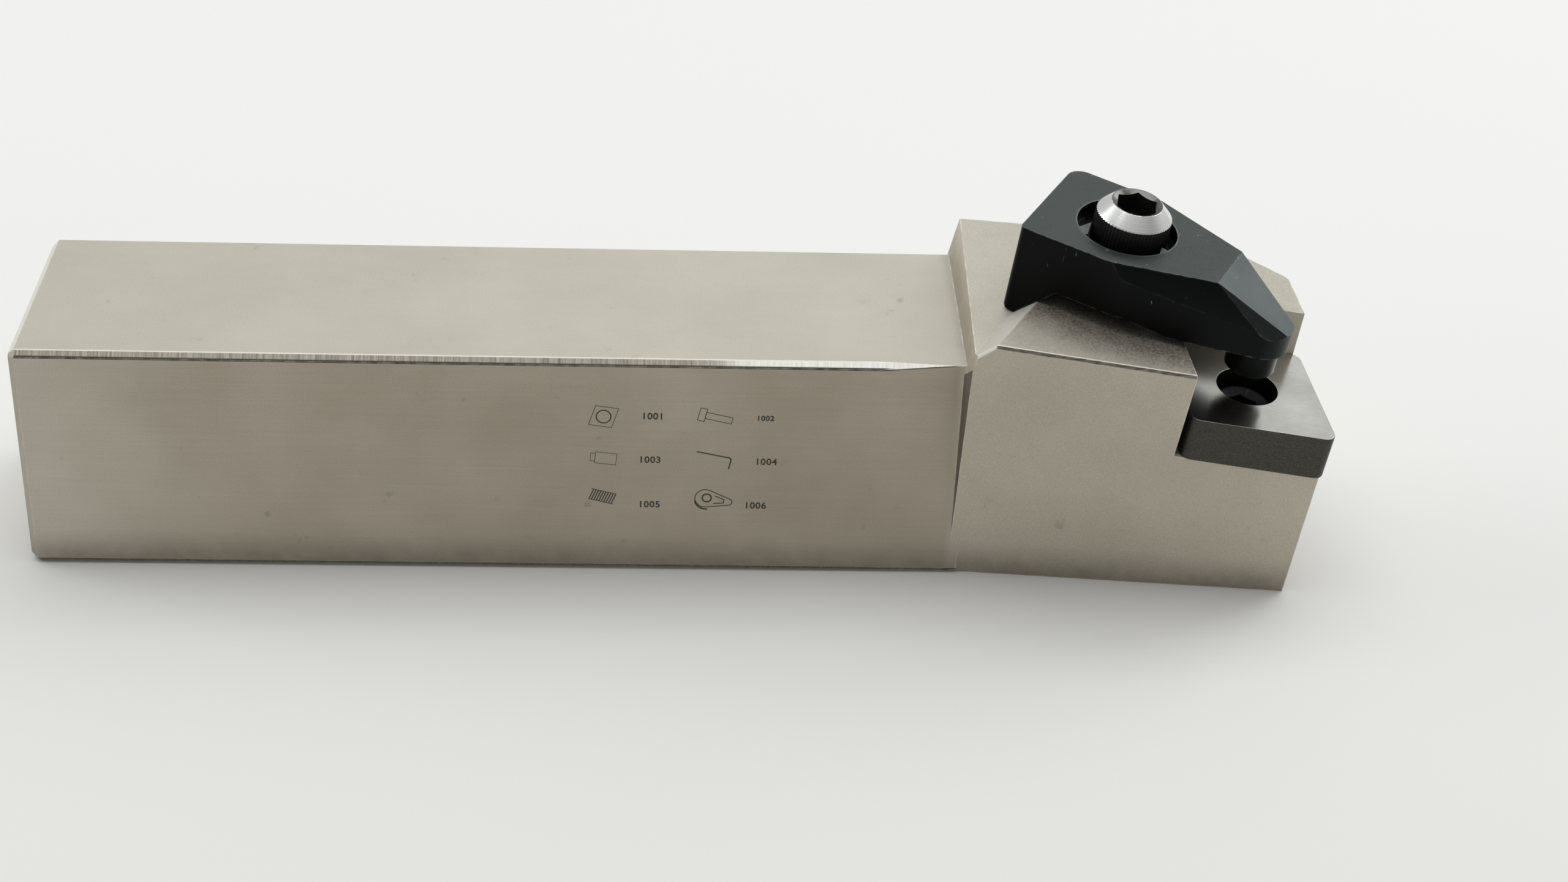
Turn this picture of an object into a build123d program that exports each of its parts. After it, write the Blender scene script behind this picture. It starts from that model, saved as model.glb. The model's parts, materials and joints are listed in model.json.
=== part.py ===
from build123d import *
from math import cos, radians, sin, tan
import os

# Turning tool holder for a rhombic 80 degree insert, left hand, double clamping.
# Millimetres. X runs from the rear end of the shank to the head, Y is the width
# of the shank with zero at its middle, Z is up from the face the shank rests on.

# ---- shank and head -------------------------------------------------------
shank_height = 32.0
shank_width = 32.0
total_length = 170.0
nose_offset = 40.0
head_start = 121.9
shank_end = 123.0
long_edge_break = 0.8
break_full_to = 111.5
break_run_out = 121.0
rear_edge_break = 0.9

# ---- how the insert lies --------------------------------------------------
seat_tilt = 6.0
lead_relief = 5.0
insert_circle = 19.05
insert_corner = 80.0
insert_thickness = 6.35
shim_thickness = 6.35
insert_bore = 7.93

# ---- head faces -----------------------------------------------------------
side_lead = 0.09
side_clearance = 0.1228
side_start_x = 129.6
side_start_y = -16.11
step_slant = 0.165
riser_foot = 122.2
riser_slant = 0.234
riser_turn = 0.0139
land_lift = 0.15
front_face = 166.4
front_clearance = 0.0745
far_bevel_x = 163.1
far_bevel_y = 6.8
far_bevel_angle = 38.0
front_corner_radius = 2.0
corner_relief = 1.4
rim_break = 0.35

# ---- clamp geometry, measured along the clamp from its screw --------------
clamp_angle = 29.0
clamp_reach = 19.84
ramp_ridge = -7.25
ramp_slope = 46.0
valley_depth = 2.96
valley_back_fall = 0.0444
valley_side_fall = 0.862
clamp_top = 9.9
clamp_rear = 11.8
clamp_width = 18.6
clamp_waist = 3.0
clamp_nose_radius = 4.2
clamp_nose_under = 1.0
clamp_arch = 2.4
clamp_heel = 2.75
heel_gap = 0.1
facet_start = 13.9
facet_half_width = 4.6
side_cut_start = 0.9
pin_diameter = 6.6
pin_end = -3.6
pin_chamfer = 0.95
recess_diameter = 13.2
recess_depth = 2.0
recess_shift = -0.45
slot_length = 8.6
slot_width = 6.6

# ---- screws and spring ----------------------------------------------------
thread_diameter = 6.0
thread_hole = 6.1
clamp_screw_head = 10.0
clamp_screw_head_height = 6.0
clamp_screw_rim = 6.75
clamp_screw_cone = 1.76
clamp_screw_length = 20.0
clamp_screw_hex = 5.0
clamp_screw_hex_depth = 3.2
clamp_screw_mouth = 6.4
seat_play = 0.03
spring_outside = 9.0
spring_wire = 1.1
spring_pocket_diameter = 9.7
spring_pocket_depth = 8.0
spring_turns = 5.0
shim_screw_head = 7.6
shim_screw_head_height = 2.3
shim_screw_drop = 2.4
shim_screw_length = 14.0
shim_screw_hex = 4.0
shim_screw_hex_depth = 1.9

# ---- shim -----------------------------------------------------------------
shim_circle = 18.7
shim_side_inset = 0.3
shim_front_step = 0.5
shim_corner_radius = 1.4
shim_bore = 8.05
shim_through = 6.6

# Derived planes: the top face of the insert, with the cutting nose as origin
# and X along the side edge towards the nose.
slope = tan(radians(seat_tilt))
nose = Vector(total_length, shank_width / 2 - nose_offset, shank_height)
seat_normal = Vector(slope, -slope, 1.0).normalized()


def along(angle):
    """Direction in the seat plane whose plan view makes this angle with X."""
    flat = Vector(cos(radians(angle)), sin(radians(angle)), 0.0)
    lifted = flat - seat_normal * flat.dot(seat_normal)
    return lifted.normalized()


def flat(point):
    """The X and Y of a point, for use in a sketch."""
    return (point.X, point.Y)


insert_top = Plane(origin=nose, x_dir=along(-lead_relief), z_dir=seat_normal)
pocket_floor = insert_thickness + shim_thickness
insert_side = insert_circle / sin(radians(insert_corner))
front_run = Vector(-cos(radians(insert_corner)), sin(radians(insert_corner)), 0.0)
insert_centre = Vector(-insert_side / 2, 0, 0) + front_run * (insert_side / 2)

# Clamp plane: origin where the clamp screw axis meets the insert top plane,
# X along the clamp towards its nose.
clamp_dir = along(-clamp_angle)
clamp_origin = insert_top.from_local_coords(insert_centre) - clamp_dir * clamp_reach
clamp_plane = Plane(origin=clamp_origin, x_dir=clamp_dir, z_dir=seat_normal)
head_seat = clamp_top - recess_depth

# Shim position in the insert plane.
shim_side = shim_circle / sin(radians(insert_corner))
shim_nose_x = (shim_front_step - shim_side_inset * cos(radians(insert_corner))) / sin(
    radians(insert_corner)
)
shim_nose = Vector(shim_nose_x, shim_side_inset, 0.0)
shim_centre = shim_nose + Vector(-shim_side / 2, 0, 0) + front_run * (shim_side / 2)
shim_top = insert_top.offset(-insert_thickness)
shim_axis = Plane(
    origin=shim_top.from_local_coords(shim_centre),
    x_dir=insert_top.x_dir,
    z_dir=seat_normal,
)

# ---- head block: cut to shape before the shank is joined to it ------------
with BuildPart() as head_block:
    with BuildSketch(Plane.XY):
        with BuildLine():
            Polyline(
                (head_start, shank_width / 2),
                (head_start, -shank_width / 2),
                (head_start + step_slant * 14.0, -shank_width / 2 - 14.0),
                (total_length + 5.0, -shank_width / 2 - 14.0),
                (total_length + 5.0, shank_width / 2),
                close=True,
            )
        make_face()
    extrude(amount=50.0)
    # side face under the cutting edge, leaning in for clearance
    side_face = Plane(
        origin=(side_start_x, side_start_y, 0.0),
        z_dir=(-side_lead, -1.0, -side_clearance),
    )
    with BuildSketch(side_face):
        Rectangle(300.0, 300.0)
    extrude(amount=40.0, mode=Mode.SUBTRACT)
    # front face
    front_plane = Plane(
        origin=(front_face, -shank_width / 2, 0.0),
        z_dir=(1.0, tan(radians(lead_relief)), -front_clearance),
    )
    with BuildSketch(front_plane):
        Rectangle(300.0, 300.0)
    extrude(amount=40.0, mode=Mode.SUBTRACT)
    # bevel across the far front corner
    bevel_plane = Plane(
        origin=(far_bevel_x, far_bevel_y, 0.0),
        z_dir=(sin(radians(far_bevel_angle)), cos(radians(far_bevel_angle)), 0.0),
    )
    with BuildSketch(bevel_plane):
        Rectangle(300.0, 300.0)
    extrude(amount=40.0, mode=Mode.SUBTRACT)
    front_corner = head_block.edges().filter_by(
        lambda e: abs(e.tangent_at(0.5).Z) > 0.95 and e.center().X > 160.0 and e.center().Y > -5.0
    )
    fillet(front_corner, radius=front_corner_radius)
    # clamp land, just above the top of the insert
    with BuildSketch(clamp_plane.offset(land_lift)):
        Rectangle(300.0, 300.0)
    extrude(amount=60.0, mode=Mode.SUBTRACT)
    # ramp for the heel of the clamp and the lower field behind it
    valley = ramp_ridge - valley_depth / tan(radians(ramp_slope))
    ramp_origin = clamp_plane.from_local_coords(Vector(0, -60.0, 60.0 * tan(radians(valley_side_fall))))
    ramp_side = clamp_plane.y_dir - clamp_plane.z_dir * tan(radians(valley_side_fall))
    ramp_section = Plane(origin=ramp_origin, x_dir=clamp_plane.x_dir, z_dir=ramp_side)
    with BuildSketch(ramp_section):
        with BuildLine():
            Polyline(
                (ramp_ridge + 20.0, -20.0 * tan(radians(ramp_slope))),
                (valley, valley_depth),
                (valley - 40.0, valley_depth + 40.0 * valley_back_fall),
                (valley - 40.0, -20.0 * tan(radians(ramp_slope))),
                close=True,
            )
        make_face()
    extrude(amount=120.0, mode=Mode.SUBTRACT)
    # riser between the top of the shank and the head
    riser_plane = Plane(
        origin=(riser_foot, -shank_width / 2, shank_height),
        z_dir=(-1.0, riser_turn, riser_slant),
    )
    with BuildSketch(riser_plane):
        Rectangle(300.0, 300.0)
    extrude(amount=40.0, mode=Mode.SUBTRACT)
    # insert pocket with a relief at its inner corner
    wall_foot = Vector(-insert_side, 0, 0)
    with BuildSketch(insert_top.offset(-pocket_floor)):
        with BuildLine():
            Polyline(
                flat(wall_foot - front_run * 10.0),
                flat(wall_foot + front_run * insert_side),
                (20.0, insert_circle),
                (20.0, -10.0),
                close=True,
            )
        make_face()
        with Locations(flat(wall_foot + front_run * (insert_side - 0.6))):
            Circle(corner_relief)
    extrude(amount=40.0, mode=Mode.SUBTRACT)

# ---- holder body ----------------------------------------------------------
with BuildPart() as holder_body:
    with BuildSketch(Plane.YZ):
        with Locations((0, shank_height / 2)):
            Rectangle(shank_width, shank_height)
        chamfer(vertices().sort_by(lambda v: v.X - v.Y)[1:], length=long_edge_break)
    extrude(amount=shank_end)
    # broken edge between the top and the near side, run out before the head
    break_depth = long_edge_break * sin(radians(45.0))
    near_edge = Plane(
        origin=(0, -shank_width / 2, shank_height), x_dir=(1, 0, 0), z_dir=(0, 1, 1)
    )
    with BuildSketch(near_edge):
        with BuildLine():
            Polyline(
                (-5.0, break_depth),
                (break_full_to, break_depth),
                (break_run_out, 0.0),
                (break_run_out, -3.0),
                (-5.0, -3.0),
                close=True,
            )
        make_face()
    extrude(amount=5.0, both=True, mode=Mode.SUBTRACT)
    chamfer(faces().sort_by(Axis.X)[0].edges(), length=rear_edge_break)
    add(head_block.part)
    # tapped hole for the clamp screw under a pocket for the spring
    with BuildSketch(clamp_plane.offset(land_lift)):
        Circle(spring_pocket_diameter / 2)
    extrude(amount=-spring_pocket_depth - land_lift, mode=Mode.SUBTRACT)
    with BuildSketch(clamp_plane):
        Circle(thread_hole / 2)
    extrude(amount=-18.0, mode=Mode.SUBTRACT)
    # tapped hole for the shim screw
    with BuildSketch(insert_top.offset(-pocket_floor)):
        with Locations(flat(shim_centre)):
            Circle(thread_hole / 2)
    extrude(amount=-14.0, mode=Mode.SUBTRACT)
    # broken edge along the near rim of the land
    rim_edges = holder_body.edges().filter_by(
        lambda e: abs(side_face.to_local_coords(e.center()).Z) < 0.01
        and clamp_plane.to_local_coords(e.center()).Z > -1.6
    )
    chamfer(rim_edges, length=rim_break)
holder_body.part.label = "holder_body"

# ---- shim -----------------------------------------------------------------
with BuildPart() as shim:
    with BuildSketch(shim_top):
        with BuildLine():
            Polyline(
                flat(shim_nose),
                flat(shim_nose + Vector(-shim_side, 0, 0)),
                flat(shim_nose + Vector(-shim_side, 0, 0) + front_run * shim_side),
                flat(shim_nose + front_run * shim_side),
                close=True,
            )
        make_face()
        fillet(vertices(), radius=shim_corner_radius)
    extrude(amount=-shim_thickness)
    with Locations(shim_axis):
        CounterBoreHole(
            radius=shim_through / 2,
            counter_bore_radius=shim_bore / 2,
            counter_bore_depth=shim_screw_drop + shim_screw_head_height,
        )
shim.part.label = "shim"

# ---- shim screw -----------------------------------------------------------
shim_screw_plane = shim_axis.offset(-shim_screw_drop)
with BuildPart() as shim_screw:
    with BuildSketch(shim_screw_plane):
        Circle(shim_screw_head / 2)
    extrude(amount=-(shim_screw_head_height - seat_play))
    with BuildSketch(shim_screw_plane.offset(-shim_screw_head_height + seat_play)):
        Circle(thread_diameter / 2)
    extrude(amount=-shim_screw_length)
    chamfer(shim_screw.edges().filter_by(GeomType.CIRCLE).sort_by(Axis.Z)[0], length=0.6)
    chamfer(shim_screw.edges().filter_by(GeomType.CIRCLE).sort_by(Axis.Z)[-1], length=0.35)
    with BuildSketch(shim_screw_plane):
        RegularPolygon(radius=shim_screw_hex / 2, side_count=6, major_radius=False)
    extrude(amount=-shim_screw_hex_depth, mode=Mode.SUBTRACT)
shim_screw.part.label = "shim_screw"

# ---- clamp ----------------------------------------------------------------
half = clamp_width / 2
with BuildPart() as clamp:
    with BuildSketch(clamp_plane.offset(-clamp_heel)):
        with Locations(((clamp_waist - clamp_rear) / 2, 0)):
            Rectangle(clamp_waist + clamp_rear, clamp_width)
        with Locations((clamp_reach, 0)):
            Circle(clamp_nose_radius)
        make_hull()
    extrude(amount=clamp_top + clamp_heel)
    # round the two rear corners
    rear_edges = clamp.edges().filter_by(
        lambda e: abs(e.tangent_at(0.5).dot(seat_normal)) > 0.99
        and clamp_plane.to_local_coords(e.center()).X < -10.0
    )
    fillet(rear_edges.sort_by(Axis.Y)[0], radius=0.8)
    fillet(rear_edges.sort_by(Axis.Y)[-1], radius=2.2)
    # under side: heel, ramp face, arch over the spring and flat under the nose
    heel_back = ramp_ridge - heel_gap / sin(radians(ramp_slope))
    run = clamp_heel / tan(radians(ramp_slope))
    rise = clamp_arch / tan(radians(ramp_slope))
    under = Plane(
        origin=clamp_plane.from_local_coords(Vector(0, -30.0, 0)),
        x_dir=clamp_plane.x_dir,
        z_dir=clamp_plane.y_dir,
    )
    with BuildSketch(under):
        with BuildLine():
            Polyline(
                (-20.0, 20.0),
                (-20.0, 2.1),
                (-clamp_rear, 2.1),
                (-clamp_rear + 0.5, clamp_heel - 0.2),
                (heel_back - run, clamp_heel),
                (heel_back + rise, -clamp_arch),
                (4.0, -clamp_arch),
                (10.0, -clamp_nose_under),
                (40.0, -clamp_nose_under),
                (40.0, 20.0),
                close=True,
            )
        make_face()
    extrude(amount=60.0, mode=Mode.SUBTRACT)
    # face sloping down to the nose
    slope_at = clamp_plane.from_local_coords(Vector(facet_start, 0, clamp_top))
    slope_out = clamp_plane.x_dir * 0.495 + clamp_plane.z_dir * 0.869
    with BuildSketch(Plane(origin=slope_at, z_dir=slope_out)):
        Rectangle(100.0, 100.0)
    extrude(amount=40.0, mode=Mode.SUBTRACT)
    for side in (-1, 1):
        # long side cut that narrows the top towards the nose
        cut_at = clamp_plane.from_local_coords(Vector(side_cut_start, side * half, clamp_top))
        cut_out = clamp_plane.x_dir * 0.32 + clamp_plane.y_dir * (0.886 * side) + clamp_plane.z_dir * 0.333
        with BuildSketch(Plane(origin=cut_at, z_dir=cut_out)):
            Rectangle(100.0, 100.0)
        extrude(amount=20.0, mode=Mode.SUBTRACT)
        # bevel beside the sloping face
        bevel_at = clamp_plane.from_local_coords(Vector(facet_start, side * facet_half_width, clamp_top))
        bevel_out = clamp_plane.x_dir * 0.538 + clamp_plane.y_dir * (0.54 * side) + clamp_plane.z_dir * 0.648
        with BuildSketch(Plane(origin=bevel_at, z_dir=bevel_out)):
            Rectangle(100.0, 100.0)
        extrude(amount=20.0, mode=Mode.SUBTRACT)
    # recess for the screw head with the two small ears left in its rim
    with BuildSketch(clamp_plane.offset(clamp_top)):
        with Locations((recess_shift, 0)):
            Circle(recess_diameter / 2)
        with BuildLine():
            Polyline((-5.6, -4.1), (-4.7, -2.1), (-4.0, -5.2), (-5.2, -5.6), close=True)
        make_face(mode=Mode.SUBTRACT)
        with BuildLine():
            Polyline((6.4, -1.9), (5.0, -1.6), (5.3, -3.2), (6.4, -3.4), close=True)
        make_face(mode=Mode.SUBTRACT)
    extrude(amount=-recess_depth, mode=Mode.SUBTRACT)
    with BuildSketch(clamp_plane.offset(head_seat)):
        SlotOverall(slot_length, slot_width)
    extrude(amount=-20.0, mode=Mode.SUBTRACT)
    # pin that reaches into the bore of the insert
    with BuildSketch(clamp_plane.offset(clamp_nose_under + 1.0)):
        with Locations((clamp_reach, 0)):
            Circle(pin_diameter / 2)
    extrude(amount=pin_end - clamp_nose_under - 1.0)
    round_edges = clamp.edges().filter_by(GeomType.CIRCLE)
    pin_rim = round_edges.sort_by(lambda e: clamp_plane.to_local_coords(e.arc_center).Z)[0]
    chamfer(pin_rim, length=pin_chamfer)
clamp.part.label = "clamp"

# ---- clamp screw ----------------------------------------------------------
screw_seat = clamp_plane.offset(head_seat + seat_play)
rim_plane = clamp_plane.offset(head_seat + clamp_screw_head_height)
with BuildPart() as clamp_screw:
    with BuildSketch(screw_seat):
        Circle(clamp_screw_head / 2)
    extrude(amount=clamp_screw_head_height - clamp_screw_cone - seat_play)
    with BuildSketch(rim_plane.offset(-clamp_screw_cone)):
        Circle(clamp_screw_head / 2)
    with BuildSketch(rim_plane):
        Circle(clamp_screw_rim / 2)
    loft()
    with BuildSketch(screw_seat):
        Circle(thread_diameter / 2)
    extrude(amount=-clamp_screw_length)
    chamfer(clamp_screw.edges().filter_by(GeomType.CIRCLE).sort_by(Axis.Z)[0], length=0.8)
    with BuildSketch(rim_plane):
        RegularPolygon(radius=clamp_screw_hex / 2, side_count=6, major_radius=False)
    extrude(amount=-clamp_screw_hex_depth, mode=Mode.SUBTRACT)
    # countersunk mouth of the socket
    mouth_fall = (clamp_screw_mouth - clamp_screw_hex) / 2 * tan(radians(30.0))
    with BuildSketch(rim_plane):
        Circle(clamp_screw_mouth / 2)
    with BuildSketch(rim_plane.offset(-mouth_fall)):
        Circle(clamp_screw_hex / 2)
    loft(mode=Mode.SUBTRACT)
clamp_screw.part.label = "clamp_screw"

# ---- spring under the clamp -----------------------------------------------
spring_rest = clamp_arch + spring_pocket_depth - spring_wire - 0.1
spring_foot = clamp_plane.offset(-spring_pocket_depth + spring_wire / 2 + 0.05)
coil_radius = (spring_outside - spring_wire) / 2
with BuildPart() as spring:
    with BuildLine():
        coil = Helix(
            pitch=spring_rest / spring_turns,
            height=spring_rest,
            radius=coil_radius,
            center=spring_foot.origin,
            direction=seat_normal,
        )
    with BuildSketch(Plane(origin=coil @ 0, z_dir=coil % 0)):
        RegularPolygon(radius=spring_wire / 2, side_count=10)
    sweep(is_frenet=True)
spring.part.label = "spring"

os.makedirs("parts", exist_ok=True)
export_step(holder_body.part, "parts/holder_body.step")
export_step(shim.part, "parts/shim.step")
export_step(shim_screw.part, "parts/shim_screw.step")
export_step(clamp.part, "parts/clamp.step")
export_step(clamp_screw.part, "parts/clamp_screw.step")
export_step(spring.part, "parts/spring.step")
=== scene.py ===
import json
import math
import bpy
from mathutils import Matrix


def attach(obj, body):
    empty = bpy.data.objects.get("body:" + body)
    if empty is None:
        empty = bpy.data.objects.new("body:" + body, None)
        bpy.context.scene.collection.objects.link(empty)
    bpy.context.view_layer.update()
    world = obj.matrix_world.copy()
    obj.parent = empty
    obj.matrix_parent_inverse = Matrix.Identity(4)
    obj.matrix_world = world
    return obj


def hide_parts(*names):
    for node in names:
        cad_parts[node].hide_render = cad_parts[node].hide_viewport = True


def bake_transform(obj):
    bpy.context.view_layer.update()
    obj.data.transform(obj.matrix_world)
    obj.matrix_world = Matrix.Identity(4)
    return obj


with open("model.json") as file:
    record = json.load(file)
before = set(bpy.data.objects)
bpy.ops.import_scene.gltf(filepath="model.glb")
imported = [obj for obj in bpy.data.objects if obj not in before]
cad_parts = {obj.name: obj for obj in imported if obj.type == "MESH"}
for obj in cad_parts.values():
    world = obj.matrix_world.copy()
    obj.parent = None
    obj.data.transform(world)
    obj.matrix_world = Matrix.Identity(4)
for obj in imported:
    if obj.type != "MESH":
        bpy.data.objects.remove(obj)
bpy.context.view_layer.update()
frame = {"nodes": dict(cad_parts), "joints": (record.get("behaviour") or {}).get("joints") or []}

from types import SimpleNamespace

import bmesh
import bpy
import numpy as np
from mathutils import Matrix, Vector

# Finishes, small parts, light and camera for a left-hand turning tool holder.
# Small parts are drawn in millimetres and brought to metres by MM. The frame, the finishes, the lamps and the
# camera are in metres.

MM = 0.001
joints = {joint["name"]: joint for joint in frame["joints"]}

# ---- the seat frame: every head part is square to the tilted insert seat ------------

screw_joint = joints["clamp_screw_turn"]
seat_normal = Vector(screw_joint["axis"]).normalized()
clamp_foot = Vector(screw_joint["pos_m"])
clamp_angle = math.radians(-29.0)
insert_angle = math.radians(-5.0)


def seat_direction(angle):
    """Direction in the seat plane whose plan view makes this angle with X."""
    flat = Vector((math.cos(angle), math.sin(angle), 0.0))
    return (flat - seat_normal * flat.dot(seat_normal)).normalized()


clamp_x = seat_direction(clamp_angle)
insert_x = seat_direction(insert_angle)


def on_seat(points, origin, x_dir):
    """Points given in mm as (x, y, height), placed at origin with x along x_dir and height along the
    seat normal."""
    axes = np.array([x_dir, seat_normal.cross(x_dir), seat_normal], float)
    return np.asarray(points, float) @ axes * MM + np.array(origin, float)


# ---- mesh building -----------------------------------------------------------------


def new_piece(name, vertices, faces, materials, zones=None, sharp=35.0):
    """A mesh object from arrays, smooth-shaded with edges sharper than the angle kept crisp."""
    mesh = bpy.data.meshes.new(name)
    mesh.from_pydata(np.asarray(vertices).tolist(), [], faces)
    for material in materials:
        mesh.materials.append(material)
    if zones is not None:
        mesh.polygons.foreach_set("material_index", np.asarray(zones, np.int32))
    mesh.polygons.foreach_set("use_smooth", np.ones(len(mesh.polygons), bool))
    mesh.validate()
    mesh.update()
    mesh.set_sharp_from_angle(angle=math.radians(sharp))
    piece = bpy.data.objects.new(name, mesh)
    bpy.context.collection.objects.link(piece)
    return piece


def closed_rings(rings, start, end):
    """Vertices and faces of rings (n, around, 3) joined row to row and closed by a fan at each end."""
    rows, around = rings.shape[:2]
    vertices = np.concatenate([rings.reshape(-1, 3), [start], [end]])
    ring = np.arange(around)
    after = (ring + 1) % around
    row = np.arange(rows - 1)[:, None] * around
    quads = np.stack([row + ring, row + after, row + around + after, row + around + ring], -1)
    first = np.stack([np.full(around, rows * around), after, ring], -1)
    last_row = (rows - 1) * around
    last = np.stack([np.full(around, rows * around + 1), last_row + ring, last_row + after], -1)
    faces = quads.reshape(-1, 4).tolist() + first.tolist() + last.tolist()
    return vertices, faces


def refined_copy(node, name, round_mm, material):
    """A merged copy of a CAD node whose flat faces are whole again, with its sharp edges rounded by a
    Bevel."""
    same_point = 2e-6
    same_plane, shade_sharp, round_from = (math.radians(angle) for angle in (0.4, 25.0, 28.0))
    work = bmesh.new()
    work.from_mesh(frame["nodes"][node].data)
    bmesh.ops.remove_doubles(work, verts=work.verts, dist=same_point)
    bmesh.ops.dissolve_limit(work, angle_limit=same_plane, verts=work.verts, edges=work.edges)
    mesh = bpy.data.meshes.new(name)
    work.to_mesh(mesh)
    work.free()
    mesh.materials.clear()
    mesh.materials.append(material)
    mesh.polygons.foreach_set("use_smooth", np.ones(len(mesh.polygons), bool))
    mesh.set_sharp_from_angle(angle=shade_sharp)
    piece = bpy.data.objects.new(name, mesh)
    bpy.context.collection.objects.link(piece)
    bevel = piece.modifiers.new("rounded edges", "BEVEL")
    bevel.width = round_mm * MM
    bevel.segments = 2
    bevel.limit_method = "ANGLE"
    bevel.angle_limit = round_from
    bevel.harden_normals = True
    return piece


# ---- node helpers -------------------------------------------------------------------


class Nodes:
    """Short calls for building one node tree from left to right."""

    def __init__(self, tree):
        self.tree = tree

    def add(self, kind, **settings):
        node = self.tree.nodes.new(kind)
        for key, value in settings.items():
            setattr(node, key, value)
        return node

    def link(self, source, target):
        self.tree.links.new(source, target)

    def put(self, socket, value):
        if isinstance(value, bpy.types.NodeSocket):
            self.link(value, socket)
        else:
            socket.default_value = value

    def math(self, operation, a, b=0.0, clamp=False):
        node = self.add("ShaderNodeMath", operation=operation, use_clamp=clamp)
        self.put(node.inputs[0], a)
        self.put(node.inputs[1], b)
        return node.outputs[0]

    def vector_math(self, operation, a, b=(0.0, 0.0, 0.0)):
        node = self.add("ShaderNodeVectorMath", operation=operation)
        self.put(node.inputs[0], a)
        self.put(node.inputs[1], b)
        return node.outputs["Value" if operation in ("DOT_PRODUCT", "LENGTH") else "Vector"]

    def ramp(self, value, low, high, to_low=0.0, to_high=1.0, smooth=False):
        node = self.add("ShaderNodeMapRange", clamp=True)
        node.interpolation_type = "SMOOTHSTEP" if smooth else "LINEAR"
        self.put(node.inputs["Value"], value)
        self.put(node.inputs["From Min"], low)
        self.put(node.inputs["From Max"], high)
        self.put(node.inputs["To Min"], to_low)
        self.put(node.inputs["To Max"], to_high)
        return node.outputs["Result"]

    def mix(self, factor, a, b, blend="MIX"):
        node = self.add("ShaderNodeMix", data_type="RGBA", blend_type=blend)
        self.put(node.inputs["Factor"], factor)
        self.put(node.inputs[6], a)
        self.put(node.inputs[7], b)
        return node.outputs[2]

    def noise(self, vector, scale, detail=2.0, roughness=0.5):
        node = self.add("ShaderNodeTexNoise")
        self.put(node.inputs["Vector"], vector)
        self.put(node.inputs["Scale"], scale)
        node.inputs["Detail"].default_value = detail
        node.inputs["Roughness"].default_value = roughness
        return node.outputs["Fac"]

    def place(self, centre=(0.0, 0.0, 0.0), turn=(0.0, 0.0, 0.0), scale=(1.0, 1.0, 1.0)):
        """Object coordinates moved to a centre, turned, and stretched."""
        coordinates = self.add("ShaderNodeTexCoord")
        mapping = self.add("ShaderNodeMapping", vector_type="TEXTURE")
        mapping.inputs["Location"].default_value = centre
        mapping.inputs["Rotation"].default_value = turn
        mapping.inputs["Scale"].default_value = scale
        self.link(coordinates.outputs["Object"], mapping.inputs["Vector"])
        return mapping.outputs["Vector"]


def new_group(name, inputs, outputs):
    """An empty shader node group with named sockets, its input node and its output node."""
    group = bpy.data.node_groups.new(name, "ShaderNodeTree")
    for socket, kind, value in inputs:
        made = group.interface.new_socket(name=socket, in_out="INPUT", socket_type=kind)
        if value is not None:
            made.default_value = value
    for socket, kind in outputs:
        group.interface.new_socket(name=socket, in_out="OUTPUT", socket_type=kind)
    nodes = Nodes(group)
    return group, nodes, nodes.add("NodeGroupInput").outputs, nodes.add("NodeGroupOutput").inputs


def edge_wear_group():
    """Mask of rubbed edges: how far the surface normal leaves a rounded normal, broken up by noise."""
    group, n, given, out = new_group(
        "rubbed_edges",
        [
            ("Vector", "NodeSocketVector", None),
            ("Width", "NodeSocketFloat", 0.0003),
            ("Breakup Scale", "NodeSocketFloat", 900.0),
            ("Amount", "NodeSocketFloat", 1.0),
        ],
        [("Mask", "NodeSocketFloat")],
    )
    rounded = n.add("ShaderNodeBevel", samples=6)
    n.link(given["Width"], rounded.inputs["Radius"])
    geometry = n.add("ShaderNodeNewGeometry")
    agreement = n.vector_math("DOT_PRODUCT", rounded.outputs["Normal"], geometry.outputs["Normal"])
    edge = n.ramp(agreement, 0.995, 0.93)
    patches = n.noise(given["Vector"], given["Breakup Scale"], 3.0, 0.6)
    broken = n.math("MULTIPLY", edge, n.ramp(patches, 0.38, 0.62))
    n.link(n.math("MULTIPLY", broken, given["Amount"]), out["Mask"])
    return group


def grain_group():
    """Height of a fine even grain with longer tool lines: two noises, one stretched along the first axis."""
    group, n, given, out = new_group(
        "machined_grain",
        [
            ("Vector", "NodeSocketVector", None),
            ("Grain Scale", "NodeSocketFloat", 6000.0),
            ("Line Scale", "NodeSocketFloat", 5000.0),
            ("Line Share", "NodeSocketFloat", 0.5),
        ],
        [("Height", "NodeSocketFloat")],
    )
    grain = n.noise(given["Vector"], given["Grain Scale"], 2.0, 0.6)
    stretched = n.vector_math("MULTIPLY", given["Vector"], (0.02, 1.0, 1.0))
    lines = n.noise(stretched, given["Line Scale"], 2.0, 0.5)
    both = n.add("ShaderNodeMix", data_type="FLOAT")
    n.link(given["Line Share"], both.inputs["Factor"])
    n.link(grain, both.inputs[2])
    n.link(lines, both.inputs[3])
    n.link(both.outputs[0], out["Height"])
    return group


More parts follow.
